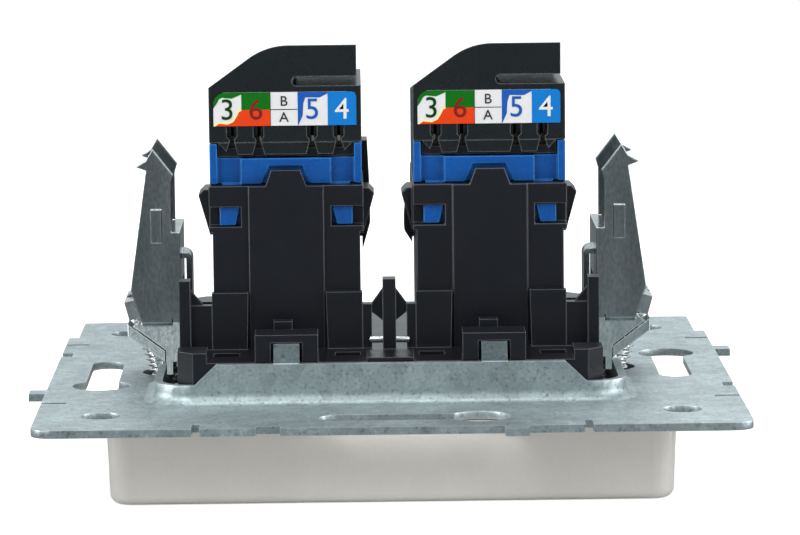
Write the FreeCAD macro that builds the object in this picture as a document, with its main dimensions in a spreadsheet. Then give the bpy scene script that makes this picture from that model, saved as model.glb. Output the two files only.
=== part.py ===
import FreeCAD, Part
import Sketcher
import math
import os
from types import SimpleNamespace

# Twin data socket mechanism for a round wall box. It lies on the face of its cover:
# +Z points to the rear (wiring) side, +X to the right, +Y away from the viewer.
# The origin is the centre of the cover's front face.

SIZES = {
    # front cover
    "cover_side": 56.4, "cover_flare": 2.2, "cover_wall": 1.8, "cover_corner": 2.2, "cover_edge": 1.0,
    "window_width": 12.6, "window_length": 10.0,
    "clip_width": 5.0, "clip_wall": 1.2, "clip_spacing": 28.0, "clip_barb": 0.35,
    # steel mounting frame
    "frame_side": 71.0, "frame_sheet": 0.8, "frame_z": 8.2, "frame_corner": 2.0,
    "slot_spacing": 60.0, "slot_width": 3.4, "slot_reach": 5.5, "keyhole_radius": 3.0, "keyhole_reach": 8.7,
    "corner_hole_x": 29.0, "corner_hole_y": 27.2, "corner_hole_radius": 2.0,
    "tab_reach": 1.7, "tab_width": 2.4, "tab_place": 12.2, "tab_recess": 1.2,
    "nick_place": 19.3, "nick_width": 0.8, "nick_length": 2.6,
    "far_step": 1.1, "far_step_place": 24.5,
    "opening_play_x": 1.6, "opening_play_y": 0.4, "opening_corner": 3.0,
    "rim_height": 2.0, "collar_height": 4.1, "collar_top": 35.2, "collar_foot": 39.6, "collar_bend": 1.2,
    "tongue_width": 2.6, "tongue_rise": 1.9, "tongue_lean": 1.1,
    "claw_gate": 14.4, "screw_notch_radius": 2.6,
    # black base housing
    "base_x": 43.2, "base_y": 41.0, "base_z": 6.2, "base_top": 13.1, "base_chamfer": 1.6,
    "flange_reach_x": 1.3, "flange_reach_y": 2.0, "claw_recess": 1.7,
    "corner_block": 3.0, "corner_block_length": 4.4, "corner_block_height": 1.0,
    "lug_width": 6.4, "lug_length": 4.0, "lug_height": 2.8, "lug_cap": 0.8,
    "stub_width": 1.9, "stub_length": 1.5, "stub_height": 3.4, "stub_setback": 5.2, "stub_offset": 0.4,
    "mid_pad_width": 4.8, "mid_pad_length": 5.0, "mid_pad_height": 0.4,
    "cross_wall": 1.1, "cross_wall_height": 4.6, "cross_wall_gap": 3.6,
    "side_pad_height": 5.9, "side_pad_wall": 1.2,
    "post_width": 1.15, "post_height": 7.3, "post_depth": 1.6,
    "rib_width": 1.35, "gusset_reach": 1.3, "gusset_wall": 0.7, "gusset_rise": 1.8,
    "dimple_length": 2.6, "dimple_width": 2.4, "dimple_depth": 0.8, "dimple_place": 6.2,
    "sleeve_wall": 1.0, "seat_depth": 3.5, "pin_play": 0.05,
    # cross pin of the middle rib
    "pin_radius": 0.35, "pin_length": 4.1, "pin_height": 0.95,
    # jack modules
    "jack_pitch": 21.0, "jack_width": 13.2, "jack_length": 17.6, "jack_front_gap": 0.3,
    "head_width": 15.7, "head_length": 18.8, "head_z": 30.0, "head_height": 4.2,
    "head_post": 0.8, "head_recess": 0.85, "bar_width": 9.3, "bar_height": 2.65,
    "notch_base": 5.0, "notch_top": 3.4, "notch_rise": 1.85, "notch_depth": 0.5,
    "board_well_x": 13.0, "board_well_y": 15.2, "board_well_depth": 3.2,
    "port_width": 11.8, "port_length": 6.8, "port_depth": 12.4, "latch_width": 6.4, "latch_length": 2.4,
    "contact_slot_width": 9.2, "contact_slot_back": 1.5,
    "catch_width": 2.1, "catch_height": 1.9, "catch_reach": 1.2, "catch_taper": 0.5,
    # black holders round the jacks
    "holder_width": 15.2, "holder_length": 21.0, "holder_top": 29.9, "holder_fit": 0.15,
    "band_width": 15.9, "band_height": 4.8, "panel_width": 7.7, "panel_rise": 0.4,
    "holder_window_z": 25.7, "holder_window_height": 2.05, "holder_window_inner": 4.65,
    "holder_window_wrap": 1.9,
    "tab_base": 4.2, "tab_top": 3.0, "tab_rise": 1.65, "tab_wall": 1.2,
    "hook_reach": 1.15, "hook_top": 29.3, "hook_bottom": 24.6, "hook_front": 8.0, "hook_length": 5.0,
    "lever_wall": 0.75, "lever_length": 4.0, "lever_front": 3.0, "lever_gap": 0.1,
    "raised_lever_bottom": 21.4, "raised_lever_height": 11.7, "low_lever_bottom": 22.1, "low_lever_height": 5.4,
    # wiring caps
    "cap_width": 15.7, "cap_overhang": 0.1, "cap_shoulder": 5.7, "cap_height": 10.0, "cap_fall": 6.0,
    "cap_slope": 6.0, "cap_step": 0.45, "cap_wall": 1.25, "cap_cavity": 4.6, "cap_bend": 7.0,
    "slit_rise": 5.8, "slit_height": 0.95, "slit_start": 1.2,
    "finger_wall": 0.7, "finger_drop": 1.25, "finger_taper": 0.35, "finger_step": 0.06,
    "wire_slot_width": 1.05, "wire_slot_neck": 0.5, "neck_height": 0.35, "wire_slot_height": 1.9,
    "wire_slot_inner": 2.75, "wire_slot_outer": 5.5,
    # wiring labels
    "label_width": 14.7, "label_height": 3.46, "far_label_height": 3.0, "label_rise": 1.73, "label_wall": 0.12, "label_corner": 1.0,
    # circuit boards and contacts
    "board_x": 12.6, "board_y": 14.8, "board_wall": 1.2,
    "wire_width": 0.36, "wire_pitch": 1.02, "wire_bottom": 5.4, "wire_bend_z": 10.4, "wire_bend_reach": 2.1,
    "blade_wall": 0.5, "blade_width": 2.0, "blade_height": 5.0, "blade_slit": 0.35, "blade_slit_depth": 3.2,
    "blade_row": 12.4,
    # wiring blocks that hold the blades
    "block_foot": 0.9, "block_height": 3.6, "block_play": 0.1, "channel_width": 0.85,
    # claws
    "claw_sheet": 1.0, "claw_width": 12.0, "claw_inset": 0.6, "foot_rise": 6.1, "foot_reach": 3.2,
    "knee_reach": 4.3, "knee_rise": 9.6, "root_reach": 2.5, "root_rise": 22.1, "tooth_reach": 3.6,
    "tooth_rise": 22.5, "valley_reach": 2.5, "valley_rise": 23.1, "tip_reach": 1.8, "tip_rise": 24.3,
    "shoulder_back": 0.3, "shoulder_rise": 21.6,
    "jog": 0.4, "web_top": 15.6, "web_bottom": 10.0, "web_wall": 0.9,
    "lip_reach": 4.7, "lip_rise": 4.8, "lip_root_reach": 0.8, "lip_root_rise": 1.9, "lip_width": 3.3,
    "leg_width": 1.2, "leg_gap": 0.3, "toe_reach": 0.6, "toe_height": 0.8,
    "tongue_arch": 13.0, "tongue_back": 2.0, "tongue_sheet": 0.6, "tongue_end": 7.4, "tongue_span": 4.6,
    "stamp_reach": 1.5, "stamp_rise": 16.3, "stamp_width": 1.15, "stamp_length": 3.5, "stamp_height": 0.4,
    # spreading screws and their nuts
    "screw_radius": 1.7, "screw_tilt": 15.5, "screw_reach": 0.7, "screw_drop": 0.3, "screw_length": 10.4,
    "head_radius": 2.7, "head_wall": 1.6, "drive_width": 0.8, "drive_depth": 0.9, "screw_point": 0.5,
    "nut_place": 8.0, "nut_width": 3.6, "nut_span": 8.6, "nut_wall": 2.0, "bore_clearance": 0.05,
    # gaps between neighbouring pieces
    "seat_gap": 0.1, "fit_gap": 0.3,
}


class Size:
    """A length that knows both its number and the spreadsheet expression it comes from."""

    def __init__(self, number, text):
        self.number = number
        self.text = text

    def __add__(self, other):
        other = sized(other)
        return Size(self.number + other.number, f"({self.text} + {other.text})")

    def __sub__(self, other):
        other = sized(other)
        return Size(self.number - other.number, f"({self.text} - {other.text})")

    def __mul__(self, other):
        other = sized(other)
        return Size(self.number * other.number, f"({self.text} * {other.text})")

    def __truediv__(self, other):
        other = sized(other)
        return Size(self.number / other.number, f"({self.text} / {other.text})")

    def __neg__(self):
        return Size(-self.number, f"(0 - {self.text})")

    def __radd__(self, other):
        return sized(other) + self

    def __rsub__(self, other):
        return sized(other) - self

    def __rmul__(self, other):
        return sized(other) * self


def sized(value):
    """The value as a Size, also where it is a plain number."""
    if isinstance(value, Size):
        return value
    return Size(float(value), repr(float(value)))


def cosine(angle):
    return Size(math.cos(math.radians(angle.number)), f"cos({angle.text})")


def sine(angle):
    return Size(math.sin(math.radians(angle.number)), f"sin({angle.text})")


TINY = 1e-4
SIDES = {"left": -1, "right": 1}
ENDS = {"near": -1, "far": 1}

doc = FreeCAD.newDocument("twin_data_socket")
sheet = doc.addObject("Spreadsheet::Sheet", "sizes")
for row, (alias, number) in enumerate(SIZES.items(), start=1):
    sheet.set(f"A{row}", alias)
    sheet.set(f"B{row}", str(number))
    sheet.setAlias(f"B{row}", alias)
doc.recompute()
S = SimpleNamespace(**{alias: Size(number, f"sizes.{alias}") for alias, number in SIZES.items()})


def bind(thing, prop, value):
    """Set a property to its number and tie it to the spreadsheet."""
    thing.setExpression(prop, sized(value).text)


def new_body(name, several=False):
    body = doc.addObject("PartDesign::Body", name)
    body.Label = name
    if several:
        body.AllowCompound = True
    return body


def new_sketch(body, plane, offset=0.0):
    """A sketch on one of the body's own origin planes, shifted along that plane's normal."""
    sketch = body.newObject("Sketcher::SketchObject", "sketch")
    support = next(f for f in body.Origin.OriginFeatures if f.Role == plane)
    sketch.AttachmentSupport = [(support, "")]
    sketch.MapMode = "FlatFace"
    bind(sketch, "AttachmentOffset.Base.z", offset)
    return sketch


def pin_down(sketch, geometry, point, place):
    """Fix one point of a sketch by its two distances from the origin."""
    for kind, value in zip(("DistanceX", "DistanceY"), place):
        value = sized(value)
        index = sketch.addConstraint(Sketcher.Constraint(kind, -1, 1, geometry, point, value.number))
        sketch.setExpression(f"Constraints[{index}]", value.text)


def outline(sketch, corners):
    """A closed outline of straight lines through the corners."""
    points = [FreeCAD.Vector(sized(a).number, sized(b).number, 0) for a, b in corners]
    count = len(points)
    first = sketch.GeometryCount
    for k in range(count):
        sketch.addGeometry(Part.LineSegment(points[k], points[(k + 1) % count]), False)
    for k in range(count):
        sketch.addConstraint(Sketcher.Constraint("Coincident", first + k, 2, first + (k + 1) % count, 1))
        pin_down(sketch, first + k, 1, corners[k])


def box(sketch, left, right, low, high):
    outline(sketch, [(left, low), (right, low), (right, high), (left, high)])


def rounded_box(sketch, left, right, low, high, radius):
    """A closed rectangle whose four corners are arcs."""
    left, right, low, high, radius = (sized(v) for v in (left, right, low, high, radius))
    centres = [(right - radius, low + radius), (right - radius, high - radius),
               (left + radius, high - radius), (left + radius, low + radius)]
    ends = [((right - radius, low), (right, low + radius)), ((right, high - radius), (right - radius, high)),
            ((left + radius, high), (left, high - radius)), ((left, low + radius), (left + radius, low))]
    lines = []
    arcs = []
    for k, centre in enumerate(centres):
        x, y = (value.number for value in centre)
        start = (k - 1) * math.pi / 2
        turn = Part.Circle(FreeCAD.Vector(x, y, 0), FreeCAD.Vector(0, 0, 1), radius.number)
        arcs.append(sketch.addGeometry(Part.ArcOfCircle(turn, start, start + math.pi / 2), False))
    for k in range(len(ends)):
        points = [FreeCAD.Vector(x.number, y.number, 0) for x, y in (ends[k][1], ends[(k + 1) % 4][0])]
        lines.append(sketch.addGeometry(Part.LineSegment(*points), False))
        pin_down(sketch, lines[k], 1, ends[k][1])
        pin_down(sketch, lines[k], 2, ends[(k + 1) % 4][0])
    for k, arc in enumerate(arcs):
        sketch.addConstraint(Sketcher.Constraint("Coincident", arc, 1, lines[k - 1], 2))
        sketch.addConstraint(Sketcher.Constraint("Coincident", arc, 2, lines[k], 1))
        index = sketch.addConstraint(Sketcher.Constraint("Radius", arc, radius.number))
        sketch.setExpression(f"Constraints[{index}]", radius.text)


def circle(sketch, x, y, radius):
    x, y, radius = sized(x), sized(y), sized(radius)
    centre = FreeCAD.Vector(x.number, y.number, 0)
    index = sketch.addGeometry(Part.Circle(centre, FreeCAD.Vector(0, 0, 1), radius.number), False)
    pin_down(sketch, index, 3, (x, y))
    bound = sketch.addConstraint(Sketcher.Constraint("Radius", index, radius.number))
    sketch.setExpression(f"Constraints[{bound}]", radius.text)


def feature(body, kind, sketch, length, reverse, middle, taper):
    made = body.newObject(f"PartDesign::{kind}", kind.lower())
    made.Profile = sketch
    bind(made, "Length", length)
    made.Midplane = middle
    made.Reversed = reverse
    if taper is not None:
        bind(made, "TaperAngle", taper)
    sketch.Visibility = False
    return made


def pad(body, sketch, length, reverse=False, middle=False, taper=None):
    return feature(body, "Pad", sketch, length, reverse, middle, taper)


def pocket(body, sketch, length):
    """A cut along the sketch's normal."""
    return feature(body, "Pocket", sketch, length, True, False, None)


def slab(body, left, right, near, far, low, high):
    """Add a rectangular block between the given planes."""
    return slabs(body, [(left, right, near, far)], low, high)


def hollow(body, left, right, near, far, low, high):
    """Cut a rectangular block between the given planes."""
    return hollows(body, [(left, right, near, far)], low, high)


def slabs(body, footprints, low, high):
    """Add several rectangular blocks that share their two levels."""
    sketch = new_sketch(body, "XY_Plane", low)
    for footprint in footprints:
        box(sketch, *footprint)
    return pad(body, sketch, sized(high) - low)


def hollows(body, footprints, low, high):
    """Cut several rectangular blocks that share their two levels."""
    sketch = new_sketch(body, "XY_Plane", low)
    for footprint in footprints:
        box(sketch, *footprint)
    return pocket(body, sketch, sized(high) - low)


def rounded_slab(body, half_x, half_y, low, high, radius):
    """Add a block centred on Z with rounded upright corners."""
    sketch = new_sketch(body, "XY_Plane", low)
    rounded_box(sketch, -half_x, half_x, -half_y, half_y, radius)
    return pad(body, sketch, sized(high) - low)


def rounded_hollow(body, half_x, half_y, low, high, radius):
    """Cut a block centred on Z with rounded upright corners."""
    sketch = new_sketch(body, "XY_Plane", low)
    rounded_box(sketch, -half_x, half_x, -half_y, half_y, radius)
    return pocket(body, sketch, sized(high) - low)


def profiles_xz(body, outlines, near, far, cut=False):
    """Add or cut outlines drawn in X and Z that run from the near plane to the far one."""
    sketch = new_sketch(body, "XZ_Plane", -sized(far))
    for corners in outlines:
        outline(sketch, corners)
    make = pocket if cut else pad
    return make(body, sketch, sized(far) - near)


def profile_xz(body, corners, near, far, cut=False):
    return profiles_xz(body, [corners], near, far, cut)


def profiles_yz(body, outlines, left, right):
    """Add outlines drawn in Y and Z that run from the left plane to the right one."""
    sketch = new_sketch(body, "YZ_Plane", left)
    for corners in outlines:
        outline(sketch, corners)
    return pad(body, sketch, sized(right) - left)


def dress_edges(body, kind, prop, size, wanted):
    """Fillet or chamfer every edge of the body's shape that the test wants."""
    doc.recompute()
    names = [f"Edge{k}" for k, edge in enumerate(body.Shape.Edges, start=1) if wanted(edge)]
    if not names:
        raise RuntimeError(f"{body.Label} has no such edge")
    base = body.Tip
    dress = body.newObject(f"PartDesign::{kind}", kind.lower())
    dress.Base = (base, names)
    bind(dress, prop, size)


def round_edges(body, radius, wanted):
    dress_edges(body, "Fillet", "Radius", radius, wanted)


def bevel_edges(body, size, wanted):
    dress_edges(body, "Chamfer", "Size", size, wanted)


def is_along(edge, axis):
    """Whether a straight edge runs along the given axis, 0 to 2 for X to Z."""
    if not isinstance(edge.Curve, (Part.Line, Part.LineSegment)):
        return False
    return abs(abs(edge.tangentAt(edge.FirstParameter)[axis]) - 1) < TINY


def near_to(value, size):
    return abs(value - sized(size).number) < TINY


def place(body, x, z=0.0, tilt=None, side=1):
    """Shift a finished piece, and tilt it outward about Y where asked."""
    if tilt is not None:
        body.Placement = FreeCAD.Placement(FreeCAD.Vector(), FreeCAD.Rotation(FreeCAD.Vector(0, side, 0), tilt.number))
        bind(body, "Placement.Rotation.Angle", tilt)
    bind(body, "Placement.Base.x", x)
    bind(body, "Placement.Base.z", z)


def span(centre, width):
    """The two ends of a width about its centre."""
    return centre - width / 2, centre + width / 2


def between(first, second):
    """The two planes in rising order."""
    first, second = sized(first), sized(second)
    return (first, second) if first.number <= second.number else (second, first)


# levels and places that several pieces share
frame_top = S.frame_z + S.frame_sheet
cover_height = S.frame_z - S.seat_gap
module_x = {side: sign * S.jack_pitch / 2 for side, sign in SIDES.items()}
opening_x = S.base_x + 2 * S.opening_play_x
opening_y = S.base_y + 2 * S.opening_play_y
collar_x = opening_x + 2 * S.frame_sheet
collar_y = opening_y + 2 * S.frame_sheet
flange_x = S.base_x + 2 * S.flange_reach_x
flange_y = S.base_y + 2 * S.flange_reach_y
jack_front = S.cover_wall + S.jack_front_gap
sleeve_x = S.jack_width / 2 + S.holder_fit
sleeve_y = S.jack_length / 2 + S.holder_fit
holder_face = S.holder_length / 2
panel_face = holder_face + S.panel_rise
claw_x = opening_x / 2 - S.claw_inset
sheet_edge = claw_x + S.leg_width + S.leg_gap
screw_x = claw_x + S.screw_reach
screw_z = S.frame_z - S.screw_drop
screw_lean = sine(S.screw_tilt) / cosine(S.screw_tilt)
notch_x = screw_x + (S.frame_z + S.frame_sheet / 2 - screw_z) * screw_lean
wire_slots = [-S.wire_slot_outer, -S.wire_slot_inner, S.wire_slot_inner, S.wire_slot_outer]
head_top = S.head_z + S.head_height
board_z = head_top - S.board_well_depth
cap_z = head_top + S.seat_gap
cap_length = S.head_length + 2 * S.cap_overhang
block_z = S.head_z + S.bar_height + S.seat_gap


def front_cover():
    body = new_body("front_cover")
    sketch = new_sketch(body, "XY_Plane")
    half = S.cover_side / 2
    rounded_box(sketch, -half, half, -half, half, S.cover_corner)
    pad(body, sketch, cover_height, taper=S.cover_flare)
    round_edges(body, S.cover_edge, lambda e: all(near_to(v.Z, 0) for v in e.Vertexes))
    inner = half - S.cover_wall
    hollow(body, -inner, inner, -inner, inner, S.cover_wall, cover_height)
    windows = [(*span(centre, S.window_width), *span(sized(0), S.window_length)) for centre in module_x.values()]
    hollows(body, windows, 0, S.cover_wall)
    snap_clips(body)
    return body


def clip_spans(width):
    return [span(sign * S.clip_spacing / 2, width) for sign in SIDES.values()]


def snap_clips(body):
    """Legs whose barbs snap into grooves in the edge of the housing's flange."""
    face = flange_y / 2 + S.seat_gap
    top = S.frame_z - S.fit_gap
    legs = []
    barbs = []
    for sign in ENDS.values():
        legs += [(*ends, *between(sign * face, sign * (face + S.clip_wall))) for ends in clip_spans(S.clip_width)]
        barbs.append([
            (sign * (face + S.clip_wall / 2), top),
            (sign * face, top),
            (sign * (face - S.clip_barb), top - S.clip_wall / 2),
            (sign * face, top - S.clip_wall),
            (sign * (face + S.clip_wall / 2), top - S.clip_wall),
        ])
    slabs(body, legs, S.cover_wall, top)
    for ends in clip_spans(S.clip_width):
        profiles_yz(body, barbs, *ends)


def mounting_frame():
    body = new_body("mounting_frame")
    half = S.frame_side / 2
    rounded_slab(body, half, half, S.frame_z, frame_top, S.frame_corner)
    drawn_collar(body)
    keyholes_and_tabs(body)
    corner_holes_and_steps(body)
    claw_gates(body)
    folded_tongues(body)
    return body


def drawn_collar(body):
    """The wall drawn up round the opening: a low rim, higher along the near and far sides."""
    outer_x, outer_y = collar_x / 2, collar_y / 2
    rim_top = frame_top + S.rim_height
    rounded_slab(body, outer_x, outer_y, frame_top, rim_top, S.opening_corner + S.frame_sheet)
    foot = lambda e: (
        all(near_to(v.Z, frame_top) for v in e.Vertexes)
        and all(abs(v.X) < collar_x.number / 2 + TINY for v in e.Vertexes)
        and all(abs(v.Y) < collar_y.number / 2 + TINY for v in e.Vertexes)
    )
    round_edges(body, S.collar_bend, foot)
    wall = [
        (-S.collar_foot / 2, rim_top - S.frame_sheet),
        (-S.collar_foot / 2, rim_top),
        (-S.collar_top / 2, frame_top + S.collar_height),
        (S.collar_top / 2, frame_top + S.collar_height),
        (S.collar_foot / 2, rim_top),
        (S.collar_foot / 2, rim_top - S.frame_sheet),
    ]
    for sign in ENDS.values():
        near, far = between(sign * opening_y / 2, sign * outer_y)
        profile_xz(body, wall, near, far)
    rounded_hollow(body, opening_x / 2, opening_y / 2, S.frame_z, rim_top, S.opening_corner)


def keyholes_and_tabs(body):
    """One edge's keyhole slot, locating tab, recess and nicks, repeated on all four edges."""
    edge = S.frame_side / 2
    row = S.slot_spacing / 2
    slot = new_sketch(body, "XY_Plane", S.frame_z)
    box(slot, -S.slot_reach, S.keyhole_reach, -row - S.slot_width / 2, -row + S.slot_width / 2)
    slot_cut = pocket(body, slot, S.frame_sheet)
    end = new_sketch(body, "XY_Plane", S.frame_z)
    circle(end, -S.slot_reach, -row, S.slot_width / 2)
    end_cut = pocket(body, end, S.frame_sheet)
    key = new_sketch(body, "XY_Plane", S.frame_z)
    circle(key, S.keyhole_reach, -row, S.keyhole_radius)
    key_cut = pocket(body, key, S.frame_sheet)
    left, right = span(S.tab_place, S.tab_width)
    tab = slab(body, left, right, -edge - S.tab_reach, -edge, S.frame_z, frame_top)
    left, right = span(-S.tab_place, S.tab_width)
    recess = hollow(body, left, right, -edge, -edge + S.tab_recess, S.frame_z, frame_top)
    nick_spans = [span(sign * S.nick_place, S.nick_width) for sign in SIDES.values()]
    nicks = hollows(body, [(*ends, -edge, -edge + S.nick_length) for ends in nick_spans], S.frame_z, frame_top)
    pattern = body.newObject("PartDesign::PolarPattern", "four_edges")
    pattern.Originals = [slot_cut, end_cut, key_cut, tab, recess, nicks]
    pattern.Axis = (slot, ["N_Axis"])
    pattern.Angle = 360
    pattern.Occurrences = 4
    body.Tip = pattern


def corner_holes_and_steps(body):
    holes = new_sketch(body, "XY_Plane", S.frame_z)
    for sign_x in SIDES.values():
        for sign_y in ENDS.values():
            circle(holes, sign_x * S.corner_hole_x, sign_y * S.corner_hole_y, S.corner_hole_radius)
    pocket(body, holes, S.frame_sheet)
    edge = S.frame_side / 2
    steps = [(*between(sign * (edge - S.far_step), sign * edge), S.far_step_place, edge) for sign in SIDES.values()]
    hollows(body, steps, S.frame_z, frame_top)


def claw_gates(body):
    """Openings in both sides of the collar where the claws stand, each with a notch for its screw."""
    gate = span(sized(0), S.claw_gate)
    inner = opening_x / 2 - S.frame_sheet
    outside = collar_x / 2 + S.collar_bend
    above = [(*between(sign * inner, sign * outside), *gate) for sign in SIDES.values()]
    hollows(body, above, frame_top, frame_top + S.rim_height)
    through = [(*between(sign * inner, sign * sheet_edge), *gate) for sign in SIDES.values()]
    hollows(body, through, S.frame_z, frame_top)
    notch = new_sketch(body, "XY_Plane", S.frame_z)
    for sign in SIDES.values():
        circle(notch, sign * notch_x, 0, S.screw_notch_radius)
    pocket(body, notch, S.frame_sheet)


def folded_tongues(body):
    """Tongues of the collar folded inward into the windows of the housing's lugs."""
    outer, inner = collar_y / 2, opening_y / 2
    top = frame_top + S.collar_height
    folds = []
    for sign in ENDS.values():
        folds.append([
            (sign * outer, top - S.frame_sheet),
            (sign * outer, top),
            (sign * (outer - S.tongue_lean), top + S.tongue_rise),
            (sign * (inner - S.tongue_lean), top + S.tongue_rise),
            (sign * inner, top),
            (sign * inner, top - S.frame_sheet),
        ])
    for centre in module_x.values():
        profiles_yz(body, folds, *span(centre, S.tongue_width))


def base_housing():
    body = new_body("base_housing")
    half_x, half_y, cut = S.base_x / 2, S.base_y / 2, S.base_chamfer
    sketch = new_sketch(body, "XY_Plane", S.base_z)
    corners = [
        (half_x - cut, -half_y), (half_x, cut - half_y), (half_x, half_y - cut), (half_x - cut, half_y),
        (cut - half_x, half_y), (-half_x, half_y - cut), (-half_x, cut - half_y), (cut - half_x, -half_y),
    ]
    outline(sketch, corners)
    pad(body, sketch, S.base_top - S.base_z)
    flange_top = S.frame_z - S.seat_gap
    slab(body, -flange_x / 2, flange_x / 2, -flange_y / 2, flange_y / 2, S.base_z, flange_top)
    gate = span(sized(0), S.claw_gate)
    recesses = [(*between(sign * (S.base_x / 2 - S.claw_recess), sign * flange_x / 2), *gate) for sign in SIDES.values()]
    hollows(body, recesses, S.base_z, S.base_top)
    clip_grooves(body)
    corner_blocks(body)
    jack_seats(body)
    latch_lugs(body)
    near_wall(body)
    middle_rib(body)
    return body


def clip_grooves(body):
    """Grooves in the flange's edge for the barbs of the cover's clips."""
    edge = flange_y / 2
    depth = S.clip_barb + S.seat_gap
    top = S.frame_z - S.fit_gap + S.seat_gap
    low = top - S.clip_wall - 2 * S.seat_gap
    width = S.clip_width + 2 * S.fit_gap
    grooves = [
        (*ends, *between(sign * (edge - depth), sign * edge)) for sign in ENDS.values() for ends in clip_spans(width)
    ]
    hollows(body, grooves, low, top)


def corner_blocks(body):
    half_x, half_y, cut = S.base_x / 2, S.base_y / 2, S.base_chamfer
    inner_x = half_x - S.corner_block
    inner_y = half_y - S.corner_block_length
    sketch = new_sketch(body, "XY_Plane", S.base_top)
    for sign_x in SIDES.values():
        for sign_y in ENDS.values():
            corners = [(inner_x, half_y), (half_x - cut, half_y), (half_x, half_y - cut), (half_x, inner_y),
                       (inner_x, inner_y)]
            outline(sketch, [(sign_x * x, sign_y * y) for x, y in corners])
    pad(body, sketch, S.corner_block_height)


def jack_seats(body):
    """A seat for each holder, a through hole for each jack and a sleeve round its front."""
    floor = S.base_top - S.seat_depth
    front = S.cover_wall + S.seat_gap
    wall_x, wall_y = sleeve_x + S.sleeve_wall, sleeve_y + S.sleeve_wall
    seat_x, seat_y = S.holder_width / 2 + S.holder_fit, holder_face + S.holder_fit
    step_x, step_y = S.panel_width / 2 + S.holder_fit, panel_face + S.holder_fit
    sleeves = []
    bores = []
    seats = []
    for centre in module_x.values():
        sleeves.append((centre - wall_x, centre + wall_x, -wall_y, wall_y))
        bores.append((centre - sleeve_x, centre + sleeve_x, -sleeve_y, sleeve_y))
        seats.append([
            (centre - seat_x, -seat_y), (centre - step_x, -seat_y), (centre - step_x, -step_y),
            (centre + step_x, -step_y), (centre + step_x, -seat_y), (centre + seat_x, -seat_y),
            (centre + seat_x, seat_y), (centre + step_x, seat_y), (centre + step_x, step_y),
            (centre - step_x, step_y), (centre - step_x, seat_y), (centre - seat_x, seat_y),
        ])
    slabs(body, sleeves, front, S.base_z)
    hollows(body, bores, front, S.base_top)
    sketch = new_sketch(body, "XY_Plane", floor)
    for seat in seats:
        outline(sketch, seat)
    pocket(body, sketch, S.seat_depth)


def latch_lugs(body):
    """Lugs on the ledge that the frame's tongues fold into, with stubs and dimples beside them."""
    edge = S.base_y / 2
    window = S.tongue_width / 2 + S.fit_gap
    window_depth = S.tongue_lean + S.frame_sheet
    window_top = S.base_top + S.lug_height - S.lug_cap
    lugs = []
    windows = []
    stubs = []
    dimples = []
    for centre in module_x.values():
        for sign in ENDS.values():
            lugs.append((*span(centre, S.lug_width), *between(sign * (edge - S.lug_length), sign * edge)))
            windows.append((centre - window, centre + window, *between(sign * (edge - window_depth), sign * edge)))
        near = S.stub_setback - edge
        stubs.append((*span(centre - S.stub_offset, S.stub_width), near, near + S.stub_length))
        near = S.lug_length - edge
        for sign in SIDES.values():
            dimples.append((*span(centre + sign * S.dimple_place, S.dimple_length), near, near + S.dimple_width))
    slabs(body, lugs, S.base_top, S.base_top + S.lug_height)
    hollows(body, windows, S.base_top, window_top)
    slabs(body, stubs, S.base_top, S.base_top + S.stub_height)
    hollows(body, dimples, S.base_top - S.dimple_depth, S.base_top)


def near_wall(body):
    """The cross wall in front of the holders with its pads, corner posts and gussets."""
    face = holder_face + S.seat_gap
    front = post_front()
    wall_top = S.base_top + S.cross_wall_height
    post_top = S.base_top + S.post_height
    shoulder = post_top - S.post_width
    pad_outer = S.holder_width / 2 + S.holder_fit
    pad_inner = S.panel_width / 2 + S.holder_fit
    post_inner = S.base_x / 2 - S.post_width
    walls = []
    pads = []
    posts = []
    gussets = []
    for side, sign in SIDES.items():
        centre = module_x[side]
        walls.append((*between(centre + sign * pad_outer, sign * post_inner), -face - S.cross_wall, -face))
        ends = between(centre - sign * pad_outer, sign * S.cross_wall_gap / 2)
        walls.append((*ends, -face - S.cross_wall, -face))
        for edge_sign in SIDES.values():
            outer = centre + edge_sign * pad_outer
            inner = centre + edge_sign * pad_inner
            pads.append([(outer, S.base_top), (outer, S.base_top + S.side_pad_height),
                         (inner, S.base_top + S.side_pad_height),
                         (inner + edge_sign * S.holder_fit, S.base_top)])
        posts.append((*between(sign * post_inner, sign * S.base_x / 2), front, -face))
        gusset_end = sign * (post_inner - S.gusset_reach)
        gussets.append([(sign * post_inner, shoulder), (gusset_end, wall_top), (gusset_end, S.base_top),
                        (sign * post_inner, S.base_top)])
    slabs(body, walls, S.base_top, wall_top)
    profiles_xz(body, pads, -face - S.side_pad_wall, -face)
    slabs(body, posts, S.base_top, post_top)
    profiles_xz(body, gussets, -face - S.gusset_wall, -face)


def post_front():
    """The near face of the corner posts and of the middle rib."""
    return S.gusset_wall - S.post_depth - S.cross_wall - holder_face - S.seat_gap


def middle_rib(body):
    """The rib between the two modules, braced by two small gussets, and the pad before it."""
    face = holder_face + S.seat_gap
    half = S.rib_width / 2
    slab(body, -half, half, post_front(), -face, S.base_top, S.base_top + S.post_height)
    wall_top = S.base_top + S.cross_wall_height
    shoulder = S.base_top + S.post_height - S.post_width
    gussets = []
    for sign in SIDES.values():
        end = sign * S.cross_wall_gap / 2
        gussets.append([(sign * half, shoulder), (end, wall_top), (end, wall_top - S.gusset_rise / 2),
                        (sign * half, wall_top - S.gusset_rise)])
    profiles_xz(body, gussets, -face - S.gusset_wall, -face)
    edge = S.base_y / 2
    slab(body, *span(sized(0), S.mid_pad_width), -edge, S.mid_pad_length - edge,
         S.base_top, S.base_top + S.mid_pad_height)
    bore = new_sketch(body, "YZ_Plane", -half)
    circle(bore, *pin_centre(), S.pin_radius + S.pin_play)
    pocket(body, bore, S.rib_width)


def pin_centre():
    face = holder_face + S.seat_gap
    return -face - S.cross_wall - S.pin_radius, S.base_top + S.pin_height


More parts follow.
